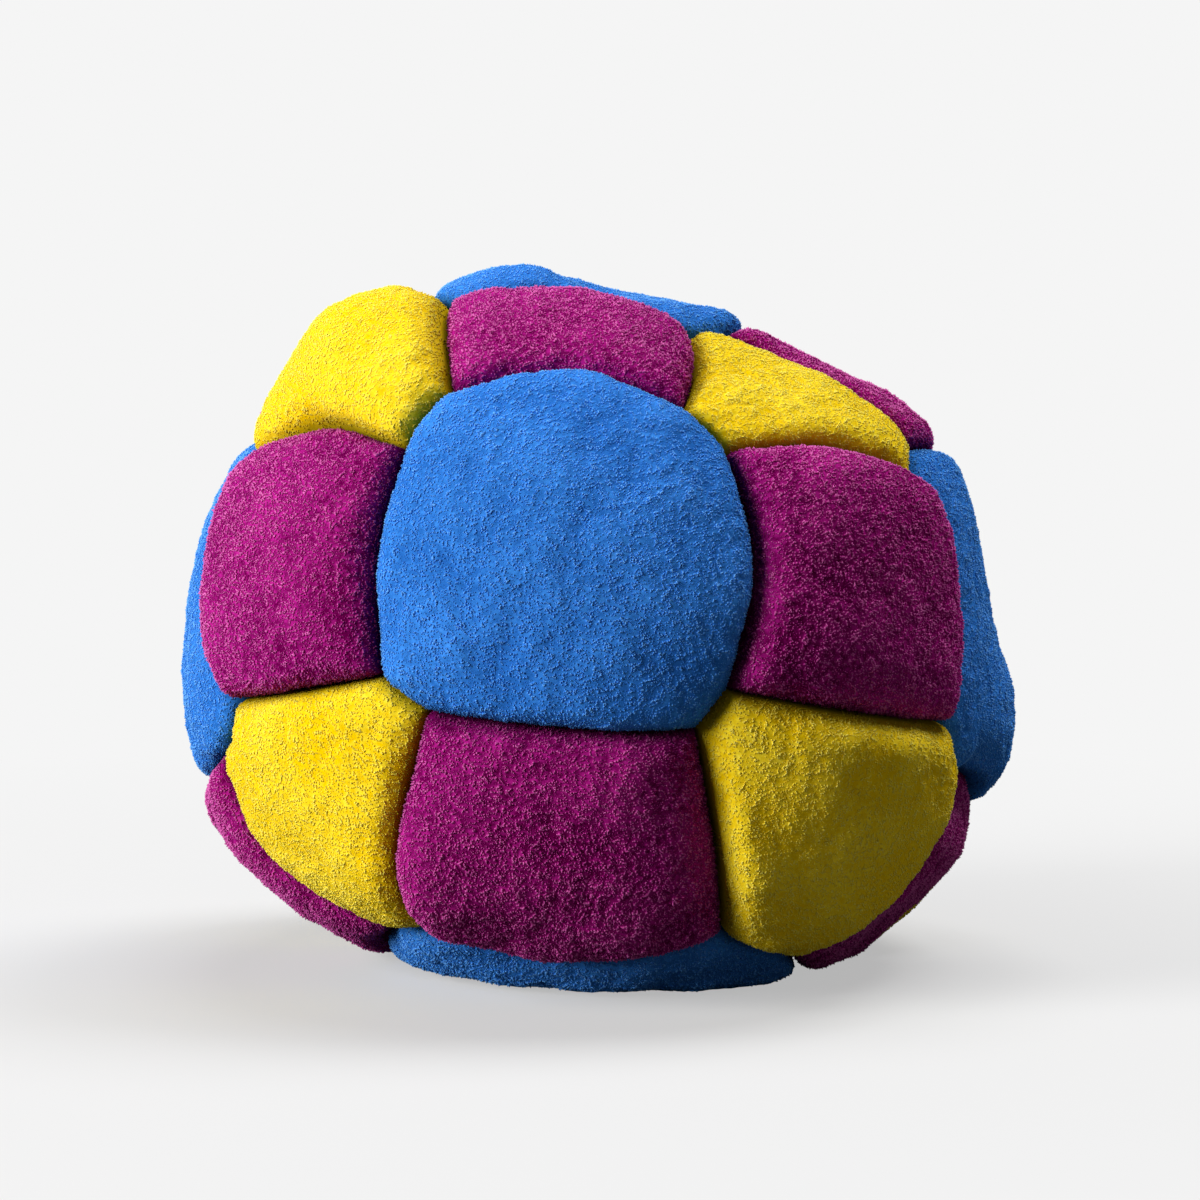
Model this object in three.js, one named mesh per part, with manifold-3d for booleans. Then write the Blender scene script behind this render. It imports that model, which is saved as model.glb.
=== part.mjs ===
// A footbag at rest: suede panels of three colours, sewn edge to edge into a ball, with a fill of gravel.
// Millimetres, +Z up. The bag sits on the plane Z = 0, its middle over the origin, its front towards -Y.
import * as THREE from "three";
import { mergeVertices } from "three/addons/utils/BufferGeometryUtils.js";
import Module from "manifold-3d";

// The cover as a round ball, before it sags. Rises are measured outwards from the seam radius.
const SEAM_RADIUS = 26.5; // middle of the ball to the seams
const LONG_SEAM = 16.7; // between a blue and a magenta panel
const SHORT_SEAM = 4; // between a blue and a yellow panel
const SUEDE = 0.9; // thickness of the panels
const STITCH_RISE = -1.5; // bottom of the groove, where the panels are sewn together
const ROLL_RISE = 0.3; // part of the way round a panel's rolled edge
const SHOULDER_RISE = 1.2; // top of the rolled edge
const CROWN_RISE = 1.4; // middle of a panel
const ROLL_WIDTH = 0.6; // seam to the point at ROLL_RISE
const SHOULDER_WIDTH = 2.6; // seam to the top of the rolled edge
const SEAM_ALLOWANCE = 2; // turned in below the stitches
const SEAM_CLEARANCE = 0.3; // between two panels that are sewn together

// Sewing thread, along the raw edges of the seam allowances.
const THREAD_DIAMETER = 0.5;
const THREAD_CLEARANCE = 0.3; // raw edges to thread, and thread to thread
const THREAD_SIDES = 5;

// Gravel, level on top.
const GRAVEL_RISE = 5.2; // level of the gravel above the middle of the ball
const GRAVEL_CLEARANCE = 0.3; // gravel to cover and thread

// How the bag lies: the ball is turned, then sags.
const TURN = { yaw: -5, pitch: -15.5, roll: 2 }; // degrees
const MIDDLE_HEIGHT = 22.8; // middle of the ball above the plane the bag sits on
const SETTLE = 0.6; // the whole height is less than a ball's by this at each end
const TOP_SAG = 4.2; // and by this as well at the top
const BELLY = 4; // the ball widens by this towards the bottom and narrows towards the top
const LEAN = 1.9; // the top leans to the left by this, and the bottom to the right
const FLAT_RISE = -0.2; // the plane the bag sits on presses flat what rises more than this

// Corners of the pattern that are sewn out of place: how far to the right and up, as seen from outside.
// A corner's name is its three sides, the furthest out first.
const CORNER_MOVES = {
  front_bottom_left: [0, 0.7],
  front_top_left: [0.7, 0.4],
  front_top_right: [0.5, 0.7],
  front_left_top: [1.1, -1],
  top_front_left: [1.2, -2],
  top_front_right: [-0.5, -0.8],
  bottom_left_front: [-0.9, -0.6],
  bottom_right_front: [0.6, -0.9],
  bottom_front_right: [-0.4, 0.5],
  left_front_bottom: [2, 0],
  left_bottom_front: [1.5, 0],
  front_right_bottom: [-1, 0],
  right_front_bottom: [1, 0],
  right_top_front: [0, 0.7],
};

// Seams that bow: how far the middle of the seam is pushed out of the first panel and into the second.
// The bows next to the front are the same at the back.
const SEAM_BOWS = [
  ["front", "front_top", 2.2],
  ["front", "front_left", 0.6],
  ["front", "front_right", 1.1],
  ["left", "front_left", -1.5],
  ["right", "front_right", -1.3],
  ["front_right", "front_top_right", 1.1],
  ["bottom_left", "front_bottom_left", -1.2],
  ["bottom_right", "front_bottom_right", -1.3],
  ["front_bottom", "front_bottom_left", 1],
  ["left", "front_bottom_left", 0.6],
  ["bottom", "bottom_left", 1.3],
  ["bottom", "front_bottom", -1],
  ["top", "front_top_left", 0.7],
  ["top", "top_right", 0.9],
  ["front_top", "top", 2.2],
  ["right", "top_right", 0.8],
  ["right", "bottom_right", -1.5],
  ["front_top", "front_top_right", 0.7],
  ["front_left", "front_top_left", 1.7],
];
const BOW_REACH = 5; // a bow's push fades out over about this distance from the seam

// Panels whose middle rises more, or less, than CROWN_RISE.
const EXTRA_RISE = {
  front: 0.3,
  front_bottom: 0.3,
  front_top: -0.3,
  front_left: 0.7,
  front_right: 0.8,
  front_bottom_left: -0.6,
  front_bottom_right: 0.9,
  front_top_left: 0.3,
  front_top_right: -0.6,
  left: -0.5,
  right: -0.7,
  top: -0.4,
  top_right: -0.7,
  bottom: -0.7,
  bottom_left: -0.4,
  bottom_right: -0.9,
};

// The bag's lumps round its outline, by the hours of a clock face seen from the front, from twelve on.
const LUMPS = [-0.3, -1.4, 0.5, -1.3, -0.9, -0.3, 0, -0.4, 0.9, 0, 0, 0.9];
const LUMP_START = 0.5; // share of the way from the middle of the front to its outline where a lump starts
const LUMP_FULL = 0.9; // and where it is whole

// Smaller swellings and hollows: hour, share of the way to the outline, reach and height.
const FOLDS = [
  [0.2, 1, 4, -1.4],
  [0.95, 1, 4, 1],
  [2.2, 1, 5, 0.8],
  [3.6, 1, 5, 0.9],
  [3.85, 0.95, 2.5, -1.5],
  [4.4, 0.36, 4, -1.4],
  [4.7, 0.97, 4, -1.2],
  [7, 1, 4, 0.7],
  [7.25, 0.7, 4.5, 2],
  [7.5, 1, 4, -0.9],
  [10.8, 0.95, 5, 1.7],
  [11.8, 1, 5, 1],
];

const SEAM_STEP = 4.2; // longest straight piece of a seam, roughly

const BLUE = { color: "#2f78d0", roughness: 0.95, metalness: 0 };
const MAGENTA = { color: "#a8277f", roughness: 0.95, metalness: 0 };
const YELLOW = { color: "#f5d90a", roughness: 0.95, metalness: 0 };
const THREAD = { color: "#2b2730", roughness: 0.8, metalness: 0 };
const GRAVEL = { color: "#b39a72", roughness: 0.9, metalness: 0 };

const LIE = new THREE.Quaternion().setFromEuler(
  new THREE.Euler(
    THREE.MathUtils.degToRad(TURN.pitch),
    THREE.MathUtils.degToRad(TURN.roll),
    THREE.MathUtils.degToRad(TURN.yaw),
    "ZXY",
  ),
);

const mix = (from, to, share) => from.clone().lerp(to, share).normalize();

function nameOf(side) {
  const words = [
    ["front", "", "back"][side.y + 1],
    ["bottom", "", "top"][side.z + 1],
    ["left", "", "right"][side.x + 1],
  ];
  return words.filter((word) => word).join("_");
}

// A direction of the ball, moved to the right and up as seen from outside once the ball is turned.
function movedOnBall(direction, [right, up]) {
  const out = direction.clone().applyQuaternion(LIE);
  const aside = new THREE.Vector3(0, 0, 1).cross(out).normalize();
  const above = out.clone().cross(aside);
  out.addScaledVector(aside, right / SEAM_RADIUS).addScaledVector(above, up / SEAM_RADIUS);
  return out.normalize().applyQuaternion(LIE.clone().invert());
}

// The corners where three panels meet: three lengths laid along three sides of a cube, in every order.
function ballCorners() {
  const near = LONG_SEAM / 2;
  const middle = near + SHORT_SEAM / Math.SQRT2;
  const far = Math.sqrt(SEAM_RADIUS ** 2 - near ** 2 - middle ** 2);
  const axes = [new THREE.Vector3(1, 0, 0), new THREE.Vector3(0, 1, 0), new THREE.Vector3(0, 0, 1)];
  const sides = axes.flatMap((axis) => [axis, axis.clone().negate()]);
  const squareTo = (...others) => sides.filter((side) => others.every((other) => side.dot(other) === 0));
  const orders = sides.flatMap((a) => squareTo(a).flatMap((b) => squareTo(a, b).map((c) => [a, b, c])));
  return orders.map(([a, b, c]) => {
    const name = [a, b, c].map(nameOf).join("_");
    const even = a.clone().multiplyScalar(far).addScaledVector(b, middle).addScaledVector(c, near);
    const direction = movedOnBall(even.normalize(), CORNER_MOVES[name] ?? [0, 0]);
    return { name, sides: [a, b, c], direction };
  });
}

// A corner belongs to the panel on a side when its furthest sides are that side's.
function isCornerOf(corner, side) {
  return corner.sides.slice(0, side.lengthSq()).every((own) => own.dot(side) > 0);
}

// The corners of the panel on a side, counterclockwise as seen from outside.
function panelCorners(side, corners) {
  const middle = side.clone().normalize();
  const own = corners.filter((corner) => isCornerOf(corner, side));
  const start = own[0].direction.clone().projectOnPlane(middle).normalize();
  const across = middle.clone().cross(start);
  const angle = ({ direction }) => Math.atan2(direction.dot(across), direction.dot(start));
  return own.sort((a, b) => angle(a) - angle(b));
}

// A seam's directions from its first corner up to its last. Both panels of a seam use the same ones.
const seams = new Map();
function seamPoints(first, last) {
  const turned = first.name > last.name;
  const [from, to] = turned ? [last, first] : [first, last];
  const key = `${from.name} ${to.name}`;
  if (!seams.has(key)) {
    const [start, end] = [from.direction, to.direction];
    const count = Math.max(1, Math.round((start.distanceTo(end) * SEAM_RADIUS) / SEAM_STEP));
    const steps = Array.from({ length: count + 1 }, (_, i) => i / count);
    seams.set(key, [start, ...steps.slice(1, -1).map((step) => mix(start, end, step)), end]);
  }
  return turned ? [...seams.get(key)].reverse() : seams.get(key);
}

// A panel's outline: each point's direction, and the move along the ball that takes it inwards by one unit.
function outline(corners) {
  const after = (i) => corners[(i + 1) % corners.length];
  const inwards = corners.map(({ direction }, i) => direction.clone().cross(after(i).direction).normalize());
  return corners.flatMap((corner, i) => {
    const last = inwards[(i + corners.length - 1) % corners.length];
    const atCorner = last.clone().add(inwards[i]).divideScalar(1 + last.dot(inwards[i]));
    const along = seamPoints(corner, after(i)).slice(0, -1);
    return along.map((direction, k) => ({ direction, move: k === 0 ? atCorner : inwards[i] }));
  });
}

function panelOn(side, allCorners) {
  const name = nameOf(side);
  const corners = panelCorners(side, allCorners);
  const edge = outline(corners);
  const middle = corners.reduce((sum, { direction }) => sum.add(direction), new THREE.Vector3()).normalize();
  const nearest = Math.min(...edge.map(({ direction }) => direction.angleTo(middle)));
  return {
    side,
    name,
    corners,
    edge,
    middle,
    colour: [BLUE, MAGENTA, YELLOW][side.lengthSq() - 1],
    shoulderShare: SHOULDER_WIDTH / (SEAM_RADIUS * nearest),
    swell: 1 + (EXTRA_RISE[name] ?? 0) / (CROWN_RISE - STITCH_RISE),
  };
}

// One panel for each side, edge and corner of a cube.
function allPanels() {
  const steps = [-1, 0, 1];
  const sides = steps.flatMap((x) => steps.flatMap((y) => steps.map((z) => new THREE.Vector3(x, y, z))));
  const corners = ballCorners();
  return sides.filter((side) => side.lengthSq() > 0).map((side) => panelOn(side, corners));
}

// A seam's bow: the way it goes, the seam's middle, run and half angle on the ball, and the size of the push.
function bowOf(first, second, size) {
  const shared = first.corners.filter((corner) => second.corners.includes(corner));
  const [start, end] = shared.map(({ direction }) => direction);
  const away = start.clone().cross(end).normalize();
  away.multiplyScalar(-Math.sign(away.dot(first.middle)));
  const along = end.clone().sub(start).normalize();
  return { away, middle: mix(start, end, 0.5), along, half: start.angleTo(end) / 2, size };
}

function allBows(panels) {
  const panelNamed = (name) => panels.find((panel) => panel.name === name);
  const onBack = (name) => name.replace("front", "back");
  const atFront = SEAM_BOWS.filter(([first, second]) => (first + second).includes("front"));
  const atBack = atFront.map(([first, second, size]) => [onBack(first), onBack(second), size]);
  return [...SEAM_BOWS, ...atBack].map(([first, second, size]) =>
    bowOf(panelNamed(first), panelNamed(second), size),
  );
}

const panels = allPanels();
const bows = allBows(panels);

// A direction of the ball, moved so that the seams bow.
function bowed(direction) {
  const moved = direction.clone();
  for (const { away, middle, along, half, size } of bows) {
    const share = Math.atan2(direction.dot(along), direction.dot(middle)) / half;
    const distance = Math.asin(THREE.MathUtils.clamp(direction.dot(away), -1, 1)) * SEAM_RADIUS;
    const push = size * Math.max(0, 1 - share ** 2) ** 2 * Math.exp(-((distance / BOW_REACH) ** 2));
    moved.addScaledVector(away, push / SEAM_RADIUS);
  }
  return moved.normalize();
}

// How far the bag stands out in a direction of the turned ball.
function lump(turned) {
  const hour = (Math.atan2(turned.x, turned.z) * 6) / Math.PI + LUMPS.length;
  const before = Math.floor(hour);
  const size = THREE.MathUtils.lerp(
    LUMPS[before % LUMPS.length],
    LUMPS[(before + 1) % LUMPS.length],
    THREE.MathUtils.smoothstep(hour, before, before + 1),
  );
  const whole = THREE.MathUtils.smoothstep(Math.hypot(turned.x, turned.z), LUMP_START, LUMP_FULL);
  const folds = FOLDS.map(([foldHour, share, reach, height]) => {
    const angle = (foldHour * Math.PI) / 6;
    const depth = Math.sqrt(1 - share ** 2);
    const middle = new THREE.Vector3(share * Math.sin(angle), -depth, share * Math.cos(angle));
    const distance = turned.distanceTo(middle) * SEAM_RADIUS;
    return height * Math.exp(-((distance / reach) ** 2));
  });
  return size * whole + folds.reduce((sum, rise) => sum + rise, 0);
}

// Where a point of the turned round ball is once the bag has sagged.
function sag(point) {
  const height = point.z / SEAM_RADIUS;
  const widen = 1 - (BELLY / SEAM_RADIUS) * height;
  return new THREE.Vector3(
    point.x * widen - LEAN * height,
    point.y * widen,
    MIDDLE_HEIGHT + point.z - SETTLE * height - TOP_SAG * Math.max(0, height) ** 2,
  );
}

// The point in a direction of the round ball, at a rise of the cover's surface and a depth below it.
// The plane the bag sits on pushes in the cover that would go through it, and the grooves go in with it.
function place(direction, rise, depth) {
  const turned = bowed(direction).applyQuaternion(LIE);
  const seam = sag(turned.clone().multiplyScalar(SEAM_RADIUS));
  const under = sag(turned.clone().multiplyScalar(SEAM_RADIUS - SUEDE));
  const outwards = seam.clone().sub(under).normalize();
  const limit = outwards.z < 0 ? -seam.z / outwards.z : Infinity;
  const free = rise + lump(turned);
  const surface = free > FLAT_RISE ? Math.min(free, limit) : free + Math.min(0, limit - FLAT_RISE);
  return seam.addScaledVector(outwards, surface - depth);
}

// A ring of points a given distance in from the outline.
function ringInside(edge, distance, rise, depth) {
  return edge.map(({ direction, move }) => {
    const inside = direction.clone().addScaledVector(move, distance / SEAM_RADIUS).normalize();
    return place(inside, rise, depth);
  });
}

// A ring of points a given share of the way from the outline to the panel's middle.
function ringTowards(edge, middle, share, rise, depth) {
  return edge.map(({ direction }) => place(mix(direction, middle, share), rise, depth));
}

function geometryOf(points, triangles) {
  const geometry = new THREE.BufferGeometry();
  geometry.setFromPoints(points);
  geometry.setIndex(triangles);
  geometry.computeVertexNormals();
  return geometry;
}

// Triangles between two rings of point numbers.
function band(first, second) {
  return first.flatMap((a, i) => {
    const next = (i + 1) % first.length;
    return [a, second[i], second[next], a, second[next], first[next]];
  });
}

// The same for rings seen from behind, with each square cut along the same diagonal.
const bandFromBehind = (first, second) => band(second, first).reverse();

// Triangles from a point to a ring.
function fan(point, ring) {
  return ring.flatMap((a, i) => [point, a, ring[(i + 1) % ring.length]]);
}

// A closed skin from one point, over rings of equal count, to another point.
// The second half of the rings lies behind the first, and its squares are cut the same way.
function skin(start, rings, end) {
  const count = rings[0].length;
  const numbers = rings.map((ring, k) => ring.map((_, i) => 1 + k * count + i));
  const last = 1 + rings.length * count;
  const bands = numbers.slice(1).flatMap((ring, k) => {
    const isBehind = 2 * k >= rings.length - 1;
    return isBehind ? bandFromBehind(numbers[k], ring) : band(numbers[k], ring);
  });
  const close = fan(last, [...numbers[numbers.length - 1]].reverse());
  return geometryOf([start, ...rings.flat(), end], [...fan(0, numbers[0]), ...bands, ...close]);
}

// A closed skin over rings that come back to the first.
function loop(rings) {
  const count = rings[0].length;
  const numbers = rings.map((ring, k) => ring.map((_, i) => k * count + i));
  const bands = numbers.flatMap((ring, k) => band(ring, numbers[(k + 1) % numbers.length]));
  return geometryOf(rings.flat(), bands);
}

// A rise of most panels, as it is on this one.
function riseOn(panel, rise) {
  return STITCH_RISE + (rise - STITCH_RISE) * panel.swell;
}

// Rings of the outside of a panel's crown, each as a share of the way to the middle, and a rise.
function crownRings(panel) {
  const halfway = (1 + panel.shoulderShare) / 2;
  const halfRise = CROWN_RISE - (CROWN_RISE - SHOULDER_RISE) / 4;
  return [
    [halfway, riseOn(panel, halfRise)],
    [panel.shoulderShare, riseOn(panel, SHOULDER_RISE)],
  ];
}

// A panel: a crowned face, an edge rolled down to the stitches, and the seam allowance turned in below them.
function panelGeometry(panel) {
  const { edge, middle } = panel;
  const crown = crownRings(panel);
  const top = riseOn(panel, CROWN_RISE);
  const outside = SEAM_CLEARANCE / 2;
  const inside = outside + SUEDE;
  const outer = crown.map(([share, rise]) => ringTowards(edge, middle, share, rise, 0));
  const inner = crown.map(([share, rise]) => ringTowards(edge, middle, share, rise, SUEDE));
  const rings = [
    ...outer,
    ringInside(edge, ROLL_WIDTH, riseOn(panel, ROLL_RISE), 0),
    ringInside(edge, outside, STITCH_RISE, 0),
    ringInside(edge, outside, STITCH_RISE, SEAM_ALLOWANCE),
    ringInside(edge, inside, STITCH_RISE, SEAM_ALLOWANCE),
    ringInside(edge, inside, STITCH_RISE, 0),
    ...inner.reverse(),
  ];
  return skin(place(middle, top, 0), rings, place(middle, top, SUEDE));
}

const THREAD_DEPTH = SEAM_ALLOWANCE + THREAD_CLEARANCE + THREAD_DIAMETER / 2;

// The outline of a thread at each of a row of directions, square to the way it runs.
function threadRings(directions, closed) {
  const points = directions.map((direction) => place(direction, STITCH_RISE, THREAD_DEPTH));
  const count = points.length;
  const turn = Array.from({ length: THREAD_SIDES }, (_, i) => (2 * Math.PI * i) / THREAD_SIDES);
  return points.map((point, k) => {
    const before = points[closed ? (k + count - 1) % count : Math.max(0, k - 1)];
    const after = points[closed ? (k + 1) % count : Math.min(count - 1, k + 1)];
    const along = after.clone().sub(before).normalize();
    const up = place(directions[k], STITCH_RISE, 0).sub(point).projectOnPlane(along).normalize();
    const aside = along.clone().cross(up);
    return turn.map((angle) => {
      const out = up.clone().multiplyScalar(Math.cos(angle)).addScaledVector(aside, Math.sin(angle));
      return point.clone().addScaledVector(out, THREAD_DIAMETER / 2);
    });
  });
}

// The thread round a blue panel.
function roundThread(panel) {
  return loop(threadRings(panel.edge.map(({ direction }) => direction), true).reverse());
}

// The thread along a seam between a magenta and a yellow panel, ending short of the threads it runs up to.
function straightThread(from, to) {
  const length = from.distanceTo(to) * SEAM_RADIUS;
  const trim = (THREAD_DIAMETER + THREAD_CLEARANCE) / length;
  const count = Math.round(length / SEAM_STEP);
  const steps = Array.from({ length: count + 1 }, (_, i) => trim + ((1 - 2 * trim) * i) / count);
  const directions = steps.map((step) => mix(from, to, step));
  const ends = [directions[count], directions[0]].map((end) => place(end, STITCH_RISE, THREAD_DEPTH));
  return skin(ends[0], threadRings(directions, false).reverse(), ends[1]);
}

// The two seams a magenta panel shares with yellow ones, each with the name of the side it is on.
function straightSeams({ side, corners }) {
  const across = side.clone().set(...side.toArray().map((axis) => (axis === 0 ? 1 : 0)));
  return [across, across.clone().negate()].map((end) => {
    const directions = corners.map(({ direction }) => direction);
    const [from, to] = directions.filter((direction) => direction.dot(end) > 0);
    return { from, to, end: nameOf(end) };
  });
}

const manifold = await Module();
manifold.setup();

function solidOf(geometry) {
  const bare = new THREE.BufferGeometry();
  bare.setAttribute("position", geometry.getAttribute("position"));
  bare.setIndex(geometry.getIndex());
  const merged = mergeVertices(bare);
  const mesh = new manifold.Mesh({
    numProp: 3,
    vertProperties: merged.getAttribute("position").array,
    triVerts: new Uint32Array(merged.getIndex().array),
  });
  return new manifold.Manifold(mesh);
}

function geometryOfSolid(solid) {
  const mesh = solid.getMesh();
  const geometry = new THREE.BufferGeometry();
  geometry.setAttribute("position", new THREE.BufferAttribute(mesh.vertProperties, mesh.numProp));
  geometry.setIndex(new THREE.BufferAttribute(mesh.triVerts, 1));
  geometry.computeVertexNormals();
  return geometry;
}

// The gravel: it bulges into each panel, gives way to the seam allowances, and is level on top.
function gravelGeometry() {
  const points = [];
  const triangles = [];
  const number = (point) => points.push(point) - 1;
  const valleyDepth = THREAD_DEPTH + THREAD_DIAMETER / 2 + GRAVEL_CLEARANCE;
  const valley = new Map();
  const valleyNumber = ({ direction }) => {
    if (!valley.has(direction)) valley.set(direction, number(place(direction, STITCH_RISE, valleyDepth)));
    return valley.get(direction);
  };
  for (const panel of panels) {
    const { edge, middle } = panel;
    const skirt = SEAM_CLEARANCE / 2 + SUEDE + GRAVEL_CLEARANCE;
    const below = SUEDE + GRAVEL_CLEARANCE;
    const top = riseOn(panel, CROWN_RISE);
    const rings = [
      ...crownRings(panel).map(([share, rise]) => ringTowards(edge, middle, share, rise, below)),
      ringInside(edge, skirt, STITCH_RISE, SEAM_ALLOWANCE + GRAVEL_CLEARANCE),
    ];
    const numbers = [...rings.map((ring) => ring.map(number)), edge.map(valleyNumber)];
    triangles.push(...fan(number(place(middle, top, below)), numbers[0]));
    numbers.slice(1).forEach((ring, k) => triangles.push(...band(numbers[k], ring)));
  }
  const side = 4 * SEAM_RADIUS;
  const level = MIDDLE_HEIGHT + GRAVEL_RISE;
  const room = new THREE.BoxGeometry(side, side, side).translate(0, 0, level - side / 2);
  return geometryOfSolid(solidOf(geometryOf(points, triangles)).intersect(solidOf(room)));
}

function meshOf(name, geometry, colour) {
  const mesh = new THREE.Mesh(geometry, new THREE.MeshStandardMaterial(colour));
  mesh.name = name;
  return mesh;
}

const footbag = new THREE.Group();
for (const panel of panels) {
  footbag.add(meshOf(`panel_${panel.name}`, panelGeometry(panel), panel.colour));
}
for (const panel of panels.filter(({ colour }) => colour === BLUE)) {
  footbag.add(meshOf(`thread_${panel.name}`, roundThread(panel), THREAD));
}
for (const panel of panels.filter(({ colour }) => colour === MAGENTA)) {
  for (const { from, to, end } of straightSeams(panel)) {
    footbag.add(meshOf(`thread_${panel.name}_at_${end}`, straightThread(from, to), THREAD));
  }
}
footbag.add(meshOf("gravel_fill", gravelGeometry(), GRAVEL));

export default footbag;
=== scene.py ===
# %% [markdown]
# # A footbag
# A footbag is a small ball for kicking, sewn from pieces of suede and filled with gravel. This lesson
# dresses its plain solid model. Each solid is replaced by a softer, finer piece in the same place, so that
# the visual model and the solid one share a frame. First the frame is loaded.

# %% Load the frame
import itertools
import math

import bpy
import numpy as np
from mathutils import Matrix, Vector


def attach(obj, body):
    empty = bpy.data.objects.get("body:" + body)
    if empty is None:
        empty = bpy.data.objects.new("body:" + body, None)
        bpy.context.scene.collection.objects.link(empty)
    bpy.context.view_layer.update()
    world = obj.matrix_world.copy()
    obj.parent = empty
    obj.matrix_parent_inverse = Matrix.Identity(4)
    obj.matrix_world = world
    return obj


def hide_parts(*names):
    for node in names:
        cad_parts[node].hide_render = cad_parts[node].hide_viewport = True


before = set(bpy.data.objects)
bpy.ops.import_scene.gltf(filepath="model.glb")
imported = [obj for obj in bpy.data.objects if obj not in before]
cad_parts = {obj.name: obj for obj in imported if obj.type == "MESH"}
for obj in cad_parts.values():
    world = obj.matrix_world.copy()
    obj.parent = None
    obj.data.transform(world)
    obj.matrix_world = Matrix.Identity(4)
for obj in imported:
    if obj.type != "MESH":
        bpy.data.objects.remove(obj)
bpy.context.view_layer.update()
MM = 0.001

# %% [markdown]
# ## The way the bag lies
# A round ball of suede would be easy to draw, but a bag of gravel sags: it is flat underneath, wide below
# the middle, and low and narrow at the top, and it leans. It could be pushed into shape by hand, point by
# point. Here the ball is drawn round, and one small function moves any point of it to where it lies once
# the bag has been put down. The same few sizes drive the solid model.

# %% From the round ball to the bag at rest
SEAM_RADIUS = 26.5 * MM  # of the round ball, out to its seams
MIDDLE_HEIGHT = 22.8 * MM  # of the ball's middle above the floor
SETTLE = 0.6 * MM  # by which the top comes down and the bottom comes up
TOP_SAG = 4.2 * MM  # by which the top comes down further
BELLY = 4.0 * MM  # by which the bag is wider low down, and narrower high up
LEAN = 1.9 * MM  # by which the top leans to the left, and the bottom to the right
YAW, PITCH, ROLL = (math.radians(degrees) for degrees in (-5, -15.5, 2))
X, Y, Z = range(3)


def turn_about(axis, angle):
    """The matrix of a turn about one axis."""
    first, second = (axis + 1) % 3, (axis + 2) % 3
    matrix = np.eye(3)
    matrix[first, first] = math.cos(angle)
    matrix[second, second] = math.cos(angle)
    matrix[second, first] = math.sin(angle)
    matrix[first, second] = -math.sin(angle)
    return matrix


TURN = turn_about(Z, YAW) @ turn_about(X, PITCH) @ turn_about(Y, ROLL)


def sag(points):
    """Where points of the turned round ball are once the bag has sagged."""
    height = points[:, Z] / SEAM_RADIUS
    widen = 1 - BELLY / SEAM_RADIUS * height
    x = points[:, X] * widen - LEAN * height
    y = points[:, Y] * widen
    z = MIDDLE_HEIGHT + points[:, Z] - SETTLE * height - TOP_SAG * np.maximum(0, height) ** 2
    return np.stack([x, y, z], axis=1)


top_of_ball = sag(np.array([[0, 0, SEAM_RADIUS]]))[0]
print("top of the ball once it has sagged, mm:", np.round(top_of_ball / MM, 1))

# %% [markdown]
# ## The camera
# The photograph was taken from straight in front and a little above. A long lens a hand's length or two
# away gives the same slight perspective. It is placed first, so that every later step can be looked at.

# %% Camera
CAMERA_DISTANCE = 318 * MM
CAMERA_RISE = math.radians(5)
FRAME_WIDTH = 79.7 * MM  # what the picture spans at the middle of the bag
AIM_RISE = 1.1 * MM  # from the middle of the bag to the middle of the picture
AIM = Vector((0, 0, MIDDLE_HEIGHT + AIM_RISE))

camera_data = bpy.data.cameras.new("camera")
camera_data.sensor_width = 36
camera_data.lens = camera_data.sensor_width * CAMERA_DISTANCE / FRAME_WIDTH
camera = bpy.data.objects.new("camera", camera_data)
bpy.context.scene.collection.objects.link(camera)
towards_camera = Vector((0, -math.cos(CAMERA_RISE), math.sin(CAMERA_RISE)))
camera.location = AIM + towards_camera * CAMERA_DISTANCE
camera.rotation_euler = (-towards_camera).to_track_quat("-Z", "Y").to_euler()
camera_data.clip_start = 10 * MM
bpy.context.scene.camera = camera
print(f"lens {camera_data.lens:.0f} mm")

# %% [markdown]
# ## The pattern of the cover
# The cover has a panel for each side, each edge and each corner of a cube: blue eight-sided ones, magenta
# four-sided ones and yellow six-sided ones. Three panels meet at each corner of the pattern, and every
# corner is the same three lengths laid along the cube's axes in some order. So one short loop gives them
# all.

# %% Corners and panels of the pattern
LONG_SEAM = 16.7 * MM
SHORT_SEAM = 4.0 * MM
NEAR = LONG_SEAM / 2
MIDDLE = NEAR + SHORT_SEAM / math.sqrt(2)
FAR = math.sqrt(SEAM_RADIUS**2 - NEAR**2 - MIDDLE**2)
SIDES = {
    "front": (0, -1, 0),
    "back": (0, 1, 0),
    "bottom": (0, 0, -1),
    "top": (0, 0, 1),
    "left": (-1, 0, 0),
    "right": (1, 0, 0),
}


def unit(vectors):
    """The same ways, with a length of one."""
    return vectors / np.linalg.norm(vectors, axis=-1, keepdims=True)


def are_square(*names):
    """True if no two of these sides lie on one axis."""
    return all(np.dot(SIDES[a], SIDES[b]) == 0 for a, b in itertools.combinations(names, 2))


corners = {}
for names in itertools.permutations(SIDES, 3):
    if are_square(*names):
        lengths = zip((FAR, MIDDLE, NEAR), names)
        corners[names] = unit(sum(length * np.array(SIDES[side]) for length, side in lengths))

panels = {}
for count in (1, 2, 3):
    for names in itertools.combinations(SIDES, count):
        if are_square(*names):
            panels["_".join(names)] = names


def corner_loop(name):
    """A panel's corners, counterclockwise from outside, as keys of corners."""
    names = panels[name]
    own = [key for key in corners if set(key[: len(names)]) == set(names)]
    middle = unit(sum(np.array(SIDES[side], float) for side in names))
    start = unit(corners[own[0]] - middle * np.dot(corners[own[0]], middle))
    across = np.cross(middle, start)
    return sorted(own, key=lambda key: math.atan2(corners[key] @ across, corners[key] @ start))


loops = {name: corner_loop(name) for name in panels}
print(len(corners), "corners,", len(panels), "panels")

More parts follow.
